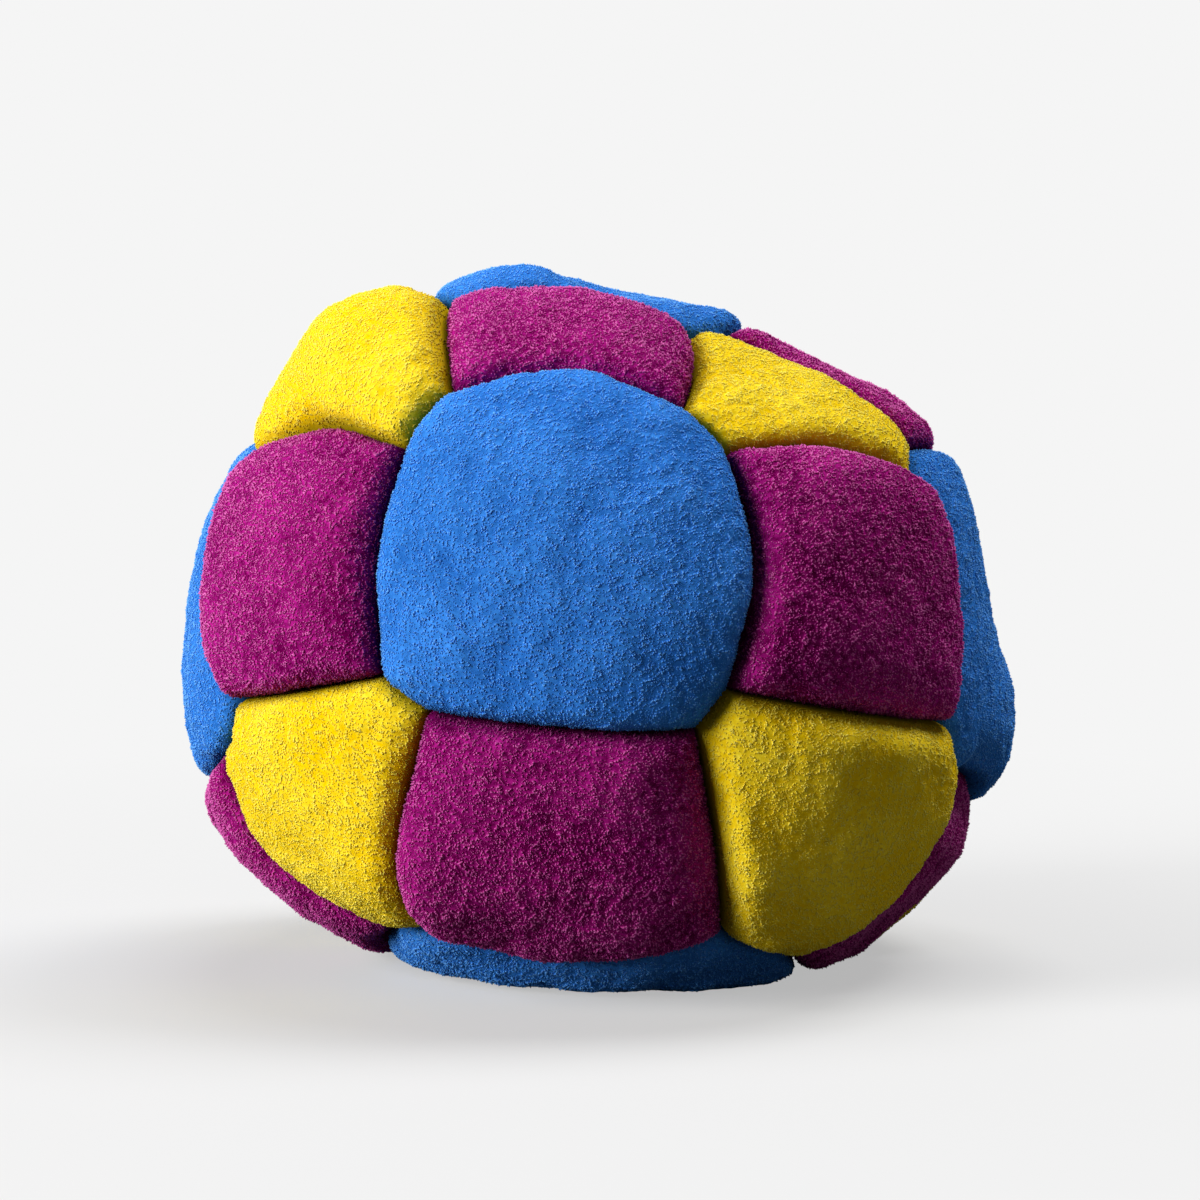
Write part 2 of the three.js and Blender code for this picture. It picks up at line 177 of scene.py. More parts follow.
# %% [markdown]
# ## Sewn by hand
# On the real bag no two panels are quite alike: corners are pulled out of place and seams bow. The
# pattern could be left even, but then it reads as a machine part. So the corners that lie furthest from
# their even place are moved, by millimetres read off the photograph.

# %% Corners out of place
CORNER_MOVES = {  # millimetres to the right and up, seen from outside
    ("front", "bottom", "left"): (0, 0.7),
    ("front", "top", "left"): (0.7, 0.4),
    ("front", "top", "right"): (0.5, 0.7),
    ("front", "left", "top"): (1.1, -1),
    ("top", "front", "left"): (1.2, -2),
    ("top", "front", "right"): (-0.5, -0.8),
    ("bottom", "left", "front"): (-0.9, -0.6),
    ("bottom", "right", "front"): (0.6, -0.9),
    ("bottom", "front", "right"): (-0.4, 0.5),
    ("left", "front", "bottom"): (2, 0),
    ("left", "bottom", "front"): (1.5, 0),
    ("front", "right", "bottom"): (-1, 0),
    ("right", "front", "bottom"): (1, 0),
    ("right", "top", "front"): (0, 0.7),
}

for key, (right, up) in CORNER_MOVES.items():
    out = TURN @ corners[key]
    aside = unit(np.cross((0, 0, 1), out))
    moved = out + (right * aside + up * np.cross(out, aside)) * MM / SEAM_RADIUS
    corners[key] = unit(moved) @ TURN

print(len(CORNER_MOVES), "corners moved")

# %% [markdown]
# ## Bowed seams
# Gravel pushes a seam aside where the suede gives way, so few seams run straight. Each could be drawn as
# a curve, but then the two panels that share it would both have to follow that curve. Here the ball
# itself is bent near the seam, with a soft push that fades out on both sides, so the two panels always
# stay together.

# %% Seams that bow
SEAM_BOWS = {  # millimetres, out of the first panel and into the second
    ("front", "front_top"): 2.2,
    ("front", "front_left"): 0.6,
    ("front", "front_right"): 1.1,
    ("left", "front_left"): -1.5,
    ("right", "front_right"): -1.3,
    ("front_right", "front_top_right"): 1.1,
    ("bottom_left", "front_bottom_left"): -1.2,
    ("bottom_right", "front_bottom_right"): -1.3,
    ("front_bottom", "front_bottom_left"): 1,
    ("left", "front_bottom_left"): 0.6,
    ("bottom", "bottom_left"): 1.3,
    ("bottom", "front_bottom"): -1,
    ("top", "front_top_left"): 0.7,
    ("top", "top_right"): 0.9,
    ("front_top", "top"): 2.2,
    ("right", "top_right"): 0.8,
    ("right", "bottom_right"): -1.5,
    ("front_top", "front_top_right"): 0.7,
    ("front_left", "front_top_left"): 1.7,
}
BOW_REACH = 5 * MM  # from a seam to where its push has mostly faded out


def on_back(name):
    """The name of a panel's twin on the back, or its own name if it isn't on the front."""
    return name.replace("front", "back")


def middle_of(name):
    """The direction of a panel's middle."""
    return unit(sum(corners[key] for key in loops[name]))


def seam_ends(first, second):
    """The two corners that two neighbouring panels share."""
    return [corners[key] for key in loops[first] if key in loops[second]]


def with_back(sizes):
    """Sizes of seams, with those of the front repeated on the back."""
    back = {tuple(on_back(name) for name in pair): size for pair, size in sizes.items()}
    return back | sizes


def way_out(first, second):
    """The way out of the first of two panels, square to the seam that they share."""
    start, end = seam_ends(first, second)
    square = unit(np.cross(start, end))
    return -square * np.sign(square @ middle_of(first))


def near_seam(directions, first, second, reach):
    """How near each direction is to a seam's middle: 1 on it, and 0 past its ends and far from it."""
    start, end = seam_ends(first, second)
    half = math.acos(start @ end) / 2
    share = np.arctan2(directions @ unit(end - start), directions @ unit(start + end)) / half
    distance = np.arcsin(np.clip(directions @ way_out(first, second), -1, 1)) * SEAM_RADIUS
    return np.maximum(0, 1 - share**2) ** 2 * np.exp(-((distance / reach) ** 2))


def bowed(directions):
    """Directions of the ball, moved so that the seams bow."""
    moves = np.zeros_like(directions)
    for seam, size in with_back(SEAM_BOWS).items():
        move = size * MM * near_seam(directions, *seam, BOW_REACH)
        moves += move[:, None] * way_out(*seam)
    return unit(directions + moves / SEAM_RADIUS)


print(len(with_back(SEAM_BOWS)), "seams bow")

# %% [markdown]
# ## A panel's face
# A sewn panel is a pillow: held down along its seams and pushed out by the gravel. It could be a
# subdivided polygon, but its edge has to roll over into the seam with an upright wall, and polygons blur
# that. So the face is a fine grid of points, with a patch for each of its corners, that runs right up to
# the seams.

# %% Grid of a panel
CELLS = 32  # from the middle of a seam to its end
SAME_DIGITS = 7  # points of two patches whose directions agree to this many digits are one point


def grid_of(name):
    """Directions of a panel's grid, its squares, and its outline as a loop of point numbers."""
    points = [corners[key] for key in loops[name]]
    halves = [unit(a + b) for a, b in zip(points, points[1:] + points[:1])]
    steps = np.linspace(0, 1, CELLS + 1)
    back, ahead = np.meshgrid(steps, steps, indexing="ij")
    back, ahead = back[..., None], ahead[..., None]
    patches = []
    for k, corner in enumerate(points):
        before, after = halves[k - 1], halves[k]
        seam = (1 - back) * (1 - ahead) * corner + (1 - back) * ahead * after
        patches.append(unit(seam + back * (1 - ahead) * before + back * ahead * middle_of(name)))
    every = np.concatenate([patch.reshape(-1, 3) for patch in patches])
    rounded = np.round(every, SAME_DIGITS)
    _, first, number = np.unique(rounded, axis=0, return_index=True, return_inverse=True)
    numbers = number.reshape(len(points), CELLS + 1, CELLS + 1)
    around = [numbers[:, :-1, :-1], numbers[:, :-1, 1:], numbers[:, 1:, 1:], numbers[:, 1:, :-1]]
    squares = np.stack(around, axis=-1).reshape(-1, 4)
    outline = []
    for k in range(len(points)):
        outline += list(numbers[k, 0, :-1])
        outline += list(numbers[(k + 1) % len(points), 1:, 0][::-1])
    return every[first], squares, np.array(outline)


print(len(grid_of("front")[0]), "points on the face of the front panel")

# %% [markdown]
# ## The pillow
# The face rolls down tightly at its seams, and swells softly towards its middle. A cloth simulation with
# pressure gives such a pillow too, but it could not be matched to the photograph panel by panel. So the
# height is a short formula of the distance to the seams. It has a size for each panel that is fuller or
# flatter than most, and one for each edge that stands up or is held down.

# %% Height of a panel's face above the seams
STITCH_RISE = -1.5 * MM  # of a panel's edge at the stitches, above the round ball
CROWN_RISE = 1.4 * MM  # of a panel's middle
FULLNESS = 2.2  # higher is flatter in the middle
EDGE_ROLL = 1.6 * MM  # from a seam to the top of the panel's rolled edge
EDGE_SHARE = 0.6  # of the rise, in the rolled edge
CORNER_ROUNDING = 2  # lower rounds the pillow's corners more
EXTRA_RISE = {  # millimetres by which a panel's middle is higher than most
    "front": 0.3,
    "front_bottom": 0.3,
    "front_top": -0.3,
    "front_left": 0.7,
    "front_right": 0.8,
    "front_bottom_left": -0.6,
    "front_bottom_right": 0.9,
    "front_top_left": 0.3,
    "front_top_right": -0.6,
    "left": -0.5,
    "right": -0.7,
    "top": -0.4,
    "top_right": -0.7,
    "bottom": -0.7,
    "bottom_left": -0.4,
    "bottom_right": -0.9,
}
EDGE_RISES = {  # millimetres by which a panel's edge stands up at a neighbour, or is held down by it
    ("front_left", "front_top_left"): -1.2,
    ("front_top", "front_top_left"): -0.5,
    ("front_right", "front_top_right"): -0.9,
    ("front_bottom", "front_bottom_right"): -1.2,
    ("front_right", "front_bottom_right"): -1.2,
    ("bottom_right", "right"): -2,
    ("front_top", "front"): -0.3,
    ("front_left", "front"): -0.4,
    ("front_bottom_right", "front_bottom"): 1,
    ("front_bottom_right", "front_right"): 0.5,
}
EDGE_REACH = 2.5 * MM  # from a seam to where such a rise has mostly faded out
LEAST_SINE = 1e-7  # keeps distances above zero, so that they can be divided by


def ways_in(name):
    """The ways into a panel, square to each of its seams."""
    points = [corners[key] for key in loops[name]]
    return unit(np.array([np.cross(a, b) for a, b in zip(points, points[1:] + points[:1])]))


def seam_distances(directions, name):
    """Distance of each direction from each of the panel's seams, before they bow."""
    sines = np.clip(directions @ ways_in(name).T, LEAST_SINE, 1)
    return np.arcsin(sines) * SEAM_RADIUS


def edge_distance(directions, name):
    """Distance from the panel's edge, with its corners rounded."""
    distances = seam_distances(directions, name)
    return np.sum(distances**-CORNER_ROUNDING, axis=1) ** (-1 / CORNER_ROUNDING)


def pillow(directions, name):
    """Rise of a panel's face: a tight roll at the seams, then a soft swell up to the middle."""
    distance = edge_distance(directions, name)
    middle = edge_distance(middle_of(name)[None], name)
    roll = np.sqrt(1 - (1 - np.clip(distance / EDGE_ROLL, 0, 1)) ** 2)
    broad = np.sqrt(1 - (1 - np.clip(distance / middle, 0, 1)) ** FULLNESS)
    swell = EDGE_SHARE * roll + (1 - EDGE_SHARE) * broad
    crown = CROWN_RISE + EXTRA_RISE.get(name, 0) * MM
    for seam, size in with_back(EDGE_RISES).items():
        if name == seam[0]:
            crown = crown + size * MM * near_seam(directions, *seam, EDGE_REACH)
    return STITCH_RISE + (crown - STITCH_RISE) * swell


front_rise = pillow(middle_of("front")[None], "front")[0]
print(f"middle of the front panel: {front_rise / MM:.1f} mm above the ball")

# %% [markdown]
# ## Putting a point in its place
# Every point of the cover goes through one function. It bends the seams, sags the ball, adds the bag's
# own lumps and presses the underside flat. The lumps are read off the photograph's outline by the hours
# of a clock face. A sculpt brush would do it too, but a size for each hour and a few folds are easier to
# read and to change.

# %% Placing a point of the cover
# Lumps round the outline in millimetres, by the hours of a clock face from twelve on.
LUMPS = (-0.3, -1.4, 0.5, -1.3, -0.9, -0.3, 0, -0.4, 0.9, 0, 0, 0.9)
HOURS = len(LUMPS)
LUMP_START, LUMP_FULL = 0.5, 0.9  # as shares of the way from the middle of the front to its outline
# Small swellings and hollows: hour, share of the way to the outline, and reach and height in millimetres.
FOLDS = (
    (0.2, 1, 4, -1.4),
    (0.95, 1, 4, 1),
    (2.2, 1, 5, 0.8),
    (3.6, 1, 5, 0.9),
    (3.85, 0.95, 2.5, -1.5),
    (4.4, 0.36, 4, -1.4),
    (4.7, 0.97, 4, -1.2),
    (7, 1, 4, 0.7),
    (7.25, 0.7, 4.5, 2),
    (7.5, 1, 4, -0.9),
    (10.8, 0.95, 5, 1.7),
    (11.8, 1, 5, 1),
)
FLAT_RISE = -0.2 * MM  # the floor presses flat what rises more than this
PRESS_BLEND = 1.2 * MM  # how softly the underside turns up from the surface it lies on
LEAST_FALL = 1e-6  # keeps the way down from being divided by zero


def smooth_step(share):
    """From 0 to 1, level at both ends."""
    share = np.clip(share, 0, 1)
    return share**2 * (3 - 2 * share)


def lump(turned):
    """How far the bag stands out in these directions, seen from the front as a clock face."""
    hours = np.arctan2(turned[:, X], turned[:, Z]) * HOURS / (2 * math.pi)
    before = np.floor(hours).astype(int)
    after_share = smooth_step(hours - before)
    sizes = np.array(LUMPS) * MM
    size = sizes[before % HOURS] * (1 - after_share) + sizes[(before + 1) % HOURS] * after_share
    outline_share = np.hypot(turned[:, X], turned[:, Z])
    rise = size * smooth_step((outline_share - LUMP_START) / (LUMP_FULL - LUMP_START))
    for hour, share, reach, height in FOLDS:
        angle = hour * 2 * math.pi / HOURS
        middle = (share * math.sin(angle), -math.sqrt(1 - share**2), share * math.cos(angle))
        distance = np.linalg.norm(turned - middle, axis=1) * SEAM_RADIUS
        rise += height * MM * np.exp(-((distance / (reach * MM)) ** 2))
    return rise


def soft_min(a, b, blend):
    """The lower of two values, rounded off where they are within blend of each other."""
    near = np.maximum(blend - np.abs(a - b), 0) / blend
    return np.minimum(a, b) - near**2 * blend / 4


def place(directions, rise, depth=0.0):
    """Points in these directions of the round ball, at a rise of the cover and a depth below its face."""
    turned = bowed(directions) @ TURN.T
    seam = sag(turned * SEAM_RADIUS)
    outwards = unit(seam - sag(turned * (SEAM_RADIUS - MM)))
    rise = rise + lump(turned)
    down = np.minimum(outwards[:, Z], -LEAST_FALL)
    limit = np.where(outwards[:, Z] < 0, -seam[:, Z] / down, 1.0)
    groove = np.maximum(FLAT_RISE - rise, 0)
    surface = soft_min(rise, limit - groove, PRESS_BLEND)
    return seam + outwards * (surface - depth)[:, None]


front_middle = place(middle_of("front")[None], front_rise)[0]
print("middle of the front panel, mm:", np.round(front_middle / MM, 1))

# %% [markdown]
# ## A panel as a closed piece of suede
# The face alone would be a sheet with no back. A real panel is a millimetre thick, and past the stitches
# its edge is turned in as a seam allowance. Solidify could give the thickness, but it would double the
# fine grid where nobody sees it. So the turned-in edge and a coarse back are added as rings round the
# outline.

# %% Closed panel mesh
SUEDE = 0.9 * MM  # thickness
SEAM_ALLOWANCE = 2.0 * MM
SEAM_CLEARANCE = 0.15 * MM  # between two panels at their seam
ALLOWANCE_STEPS = 4
BACK_SHARES = (0.3, 0.6, 0.85)  # rings of the back, as shares of the way to the panel's middle
NAP_START = 0.7 * MM  # the nap reaches its full height this far from a seam, and the painted shade at the seam fades out over the same distance
ON_SEAM = 0.005 * MM  # an outline point this near to a seam lies on it


def outline_moves(directions, outline, name):
    """For each outline point, the move on the ball that takes it inwards by one unit."""
    distances = seam_distances(directions[outline], name)
    on_seam = (distances < ON_SEAM).astype(float)
    total = on_seam @ ways_in(name)
    count = on_seam.sum(axis=1, keepdims=True)
    return total / np.where(count > 1, np.sum(total**2, axis=1, keepdims=True) / 2, 1)


def panel_mesh(name):
    """The mesh of one panel: face, turned-in edge and back, with a mask of where its nap stands."""
    directions, squares, outline = grid_of(name)
    middle = middle_of(name)
    moves = outline_moves(directions, outline, name)
    edge = unit(directions[outline] + moves * SEAM_CLEARANCE / 2 / SEAM_RADIUS)
    inside = unit(directions[outline] + moves * SUEDE / SEAM_RADIUS)
    stitch = np.full(len(outline), STITCH_RISE)
    face = place(directions, pillow(directions, name))
    face[outline] = place(edge, stitch)
    depths = np.linspace(0, SEAM_ALLOWANCE, ALLOWANCE_STEPS + 1)[1:]
    rings = [place(edge, stitch, depth) for depth in depths]
    rings += [place(inside, stitch, depth) for depth in (SEAM_ALLOWANCE, 0.0)]
    for share in BACK_SHARES:
        back = unit((1 - share) * inside + share * middle)
        rings.append(place(back, pillow(back, name), SUEDE))
    centre = place(middle[None], pillow(middle[None], name), SUEDE)
    points = np.concatenate([face, *rings, centre])
    count = len(outline)
    numbers = [outline] + [len(face) + k * count + np.arange(count) for k in range(len(rings))]
    faces = squares.tolist()
    for upper, lower in zip(numbers, numbers[1:]):
        faces += np.stack([upper, lower, np.roll(lower, -1), np.roll(upper, -1)], axis=1).tolist()
    last = len(points) - 1
    faces += [(last, b, a) for a, b in zip(numbers[-1].tolist(), np.roll(numbers[-1], -1).tolist())]
    mesh = bpy.data.meshes.new("panel_" + name)
    mesh.from_pydata(points.tolist(), [], faces)
    mask = np.zeros(len(points), np.float32)
    mask[: len(face)] = np.clip(edge_distance(directions, name) / NAP_START, 0, 1)
    mesh.attributes.new("nap_mask", "FLOAT", "POINT").data.foreach_set("value", mask)
    mesh.shade_smooth()
    return mesh


panel_meshes = {name: panel_mesh(name) for name in panels}
print(sum(len(mesh.vertices) for mesh in panel_meshes.values()), "points in the cover")

# %% [markdown]
# ## Dyes and nodes
# A finish in Blender is a tree of nodes. It could be put together by hand in an editor, but then it could
# not be read here. So one small function adds a node with its settings and links, and every later tree is
# written with it. Dyes are given as hex colours, as on a screen. Blender reckons in amounts of light, and
# another function turns the one into the other.

# %% Colours and nodes
def linear(hex_colour):
    """A hex colour as amounts of red, green and blue light, by the sRGB curve, and opaque."""
    levels = [int(hex_colour[start : start + 2], 16) / 255 for start in (1, 3, 5)]
    light = [level / 12.92 if level <= 0.04045 else ((level + 0.055) / 1.055) ** 2.4 for level in levels]
    return light + [1]


def add_node(tree, kind, inputs=None, **settings):
    """A node with its settings, and with its inputs set or linked."""
    node = tree.nodes.new(kind)
    for key, value in settings.items():
        setattr(node, key, value)
    for key, value in (inputs or {}).items():
        if isinstance(value, bpy.types.NodeSocket):
            tree.links.new(value, node.inputs[key])
        else:
            node.inputs[key].default_value = value
    return node


def new_material(name):
    """An empty material, and its node tree."""
    material = bpy.data.materials.new(name)
    material.use_nodes = True
    material.node_tree.nodes.clear()
    return material, material.node_tree


def set_stops(ramp, stops):
    """Gives a colour ramp its stops: a share of the ramp and a hex colour each, in order."""
    ramp.elements.remove(ramp.elements[1])
    for index, (position, colour) in enumerate(stops):
        stop = ramp.elements.new(position) if index else ramp.elements[0]
        stop.position = position
        stop.color = linear(colour)


print(f"middle grey is {linear('#808080')[0]:.2f} of the light of white")

# %% [markdown]
# ## Suede
# Suede is leather or a felted fabric with a raised nap: short fibres in small clumps. Light catches the
# tips of the clumps and is lost in the pits between them, and at a grazing angle the fibres glow. A
# photograph of suede could be laid on as a texture. Here noise in real millimetres makes the clumps, so
# the material fits any piece. Part of that light and shade is painted into the colour: a painted highlight
# at the tips of the tufts, and painted shade at their feet, between them and in the seams.

# %% Suede material
CLUMP = 0.4 * MM  # coarser than on real suede, where the clumps are too fine to show
BRUSHING = 5 * MM  # across the patches where the nap lies one way
BRUSHING_SHARE = 0.4  # of a face's tone, and the rest is by clumps
PAINTED_TIP_LIGHT_SHARE = 0.4  # of the tone, from the foot of a tuft to its tip: painted shade at the foot, and a painted highlight at the tip
DYE_STOPS = (0.22, 0.36, 0.6)  # tones at which the suede has its deep, its middle and its tip colour
PAINTED_SEAM_SHADE = 0.35  # painted shade in the seams' grooves: at a seam the colour is this share of the deep colour
DYES = {  # hex colours deep in the nap, in its middle and at its tips; besides tone that differs at random, the deep colour is painted shade and the tip colour a painted highlight
    "blue_suede": ("#286cc2", "#3f8fea", "#6cb0f6"),
    "magenta_suede": ("#640044", "#b6208b", "#de6eb7"),
    "yellow_suede": ("#f6cc00", "#ffe434", "#fff06c"),
}
SLOTS = list(DYES)


def nap_tone(tree):
    """From dark to light: by clumps, by the way the suede was brushed, and up each tuft from painted shade
    at its foot to a painted highlight at its tip.
    """
    where = add_node(tree, "ShaderNodeTexCoord").outputs["Object"]
    noises = []
    for size in (CLUMP, BRUSHING):
        noise = add_node(tree, "ShaderNodeTexNoise", {"Vector": where, "Scale": 1 / size, "Detail": 2})
        noises.append(noise.outputs["Fac"])
    inputs = {"Factor": BRUSHING_SHARE, "A": noises[0], "B": noises[1]}
    face = add_node(tree, "ShaderNodeMix", inputs)
    # painted light: up each tuft the tone rises from painted shade at its foot to a painted highlight at
    # its tip
    tuft = add_node(tree, "ShaderNodeAttribute", attribute_name="nap_tip")
    inputs = {"Factor": PAINTED_TIP_LIGHT_SHARE, "A": face.outputs["Result"], "B": tuft.outputs["Fac"]}
    return add_node(tree, "ShaderNodeMix", inputs).outputs["Result"]


def suede(name, deep, middle, tip):
    """Brushed suede, with painted shade between the tufts of its nap and at its seams, and a painted
    highlight at the tufts' tips.
    """
    material, tree = new_material(name)
    dye = add_node(tree, "ShaderNodeValToRGB", {"Fac": nap_tone(tree)})
    set_stops(dye.color_ramp, zip(DYE_STOPS, (deep, middle, tip)))
    # painted shade: towards each seam the colour fades into a darker copy of the deep colour, where the
    # grooves lie in shade
    painted_seam_shade = [value * PAINTED_SEAM_SHADE for value in linear(deep)[:3]] + [1]
    away = add_node(tree, "ShaderNodeAttribute", attribute_name="nap_mask")
    # inputs 6 and 7 of a Mix node are its two colours, and output 2 is their blend
    inputs = {0: away.outputs["Fac"], 6: painted_seam_shade, 7: dye.outputs["Color"]}
    colour = add_node(tree, "ShaderNodeMix", inputs, data_type="RGBA")
    shader = add_node(
        tree,
        "ShaderNodeBsdfPrincipled",
        {
            "Base Color": colour.outputs[2],
            "Roughness": 1,
            "Specular IOR Level": 0,
            "Sheen Weight": 0.25,
            "Sheen Roughness": 0.5,
            "Sheen Tint": linear(middle),
        },
    )
    add_node(tree, "ShaderNodeOutputMaterial", {"Surface": shader.outputs["BSDF"]})
    return material


suedes = [suede(name, *colours) for name, colours in DYES.items()]
print("suedes:", *SLOTS)

# %% [markdown]
# ## Uneven faces
# Gravel behind the suede and the pull of the stitches leave its faces slightly uneven. A Displace
# modifier with a texture could do it. Geometry nodes do it with named sizes, and keep the seams still
# with the mask that each panel carries.

# %% Relief of the panels
RELIEF_SIZES = {
    "Clump Size": 0.9 * MM,
    "Clump Height": 0.08 * MM,
    "Lump Size": 5 * MM,
    "Lump Height": 0.25 * MM,
}
LUMP_NOISE = (0.25, 0.75)  # values of the noise in a hollow and on top of a lump


def new_tree(name, sizes):
    """A geometry node tree with named sizes, its input node and its output node."""
    tree = bpy.data.node_groups.new(name, "GeometryNodeTree")
    tree.interface.new_socket("Geometry", in_out="INPUT", socket_type="NodeSocketGeometry")
    for size in sizes:
        tree.interface.new_socket(size, in_out="INPUT", socket_type="NodeSocketFloat")
    tree.interface.new_socket("Geometry", in_out="OUTPUT", socket_type="NodeSocketGeometry")
    return tree, tree.nodes.new("NodeGroupInput").outputs, tree.nodes.new("NodeGroupOutput").inputs


def relief_tree():
    """Moves the points of a panel along their normals by small and by larger lumps."""
    tree, sizes, result = new_tree("suede_relief", RELIEF_SIZES)
    where = add_node(tree, "GeometryNodeInputPosition").outputs[0]
    low, high = LUMP_NOISE
    rises = []
    for kind in ("Clump", "Lump"):
        scale = add_node(tree, "ShaderNodeMath", {0: 1, 1: sizes[kind + " Size"]}, operation="DIVIDE")
        noise = add_node(
            tree,
            "ShaderNodeTexNoise",
            {"Vector": where, "Scale": scale.outputs[0], "Detail": 2, "Roughness": 0.6},
        )
        value = noise.outputs["Fac"]
        inputs = {"Value": value, "From Min": low, "From Max": high, "To Min": -1, "To Max": 1}
        level = add_node(tree, "ShaderNodeMapRange", inputs)
        inputs = {0: level.outputs[0], 1: sizes[kind + " Height"]}
        rises.append(add_node(tree, "ShaderNodeMath", inputs, operation="MULTIPLY").outputs[0])
    total = add_node(tree, "ShaderNodeMath", {0: rises[0], 1: rises[1]}, operation="ADD")
    mask = add_node(tree, "GeometryNodeInputNamedAttribute", {"Name": "nap_mask"}, data_type="FLOAT")
    inputs = {0: total.outputs[0], 1: mask.outputs[0]}
    masked = add_node(tree, "ShaderNodeMath", inputs, operation="MULTIPLY")
    normal = add_node(tree, "GeometryNodeInputNormal")
    inputs = {0: normal.outputs[0], "Scale": masked.outputs[0]}
    offset = add_node(tree, "ShaderNodeVectorMath", inputs, operation="SCALE")
    inputs = {"Geometry": sizes["Geometry"], "Offset": offset.outputs[0]}
    moved = add_node(tree, "GeometryNodeSetPosition", inputs)
    tree.links.new(moved.outputs[0], result[0])
    return tree


relief = relief_tree()
print(len(relief.nodes), "nodes make the relief")

# %% [markdown]
# ## The panels as objects
# A mesh shows only once an object holds it. The relief could stay on the object as a live modifier, but
# the next steps need plain meshes, so its result is kept and the modifier goes. The dye follows from the
# count of cube sides that a panel touches. What the relief pushed below the floor is set back on it.

# %% Make the panels
def add_object(name, mesh):
    """A new object in the scene that shows a mesh."""
    obj = bpy.data.objects.new(name, mesh)
    bpy.context.scene.collection.objects.link(obj)
    return obj


def meshed(obj, tree, sizes):
    """The mesh that a tree makes of an object, with the modifier gone again."""
    modifier = obj.modifiers.new(tree.name, "NODES")
    modifier.node_group = tree
    for socket in tree.interface.items_tree:
        if socket.name in sizes:
            modifier[socket.identifier] = sizes[socket.name]
    ready = obj.evaluated_get(bpy.context.evaluated_depsgraph_get())
    mesh = bpy.data.meshes.new_from_object(ready)
    obj.modifiers.remove(modifier)
    return mesh


dyes = {name: len(names) - 1 for name, names in panels.items()}  # as places in the list of suedes
panel_objects = {}
for name, dye in dyes.items():
    obj = add_object("suede_" + name, panel_meshes[name])
    obj.data.materials.append(suedes[dye])
    obj.data = meshed(obj, relief, RELIEF_SIZES)
    for point in obj.data.vertices:
        point.co.z = max(point.co.z, 0)
    panel_objects[name] = obj
print(len(panel_objects), "panels")

# %% [markdown]
# ## The nap
# What makes suede look like suede is its nap: short tufts of fibre that stand up all over it. A bump
# texture can hint at them, but it looks like leather, and the outline of the bag stays bare. Particle
# hair would do, but it is no mesh. Here geometry nodes scatter thousands of tiny cones over each face,
# each leaning its own way.

# %% Nap tufts
NAP_SIZES = {  # a tuft stands for a bundle of fibres, because single fibres are too fine to show
    "Tufts per Square Metre": 34e6,
    "Tuft Radius": 0.08 * MM,
    "Spread": 0.7,  # how far a tuft may lean to each side, for one part upright
    "Lowest": 0.4 * MM,  # above the floor, which presses the nap flat below this
}
FACE_MASK = 0.3  # tufts stand where the mask is higher than this
CLUMP_NOISE = (0.3, 0.7)  # values of the noise between clumps and in the middle of one
TUFT_SCALES = (0.4, 1.5)  # of the tufts between clumps and in the middle of one
NAP_SEED = 5


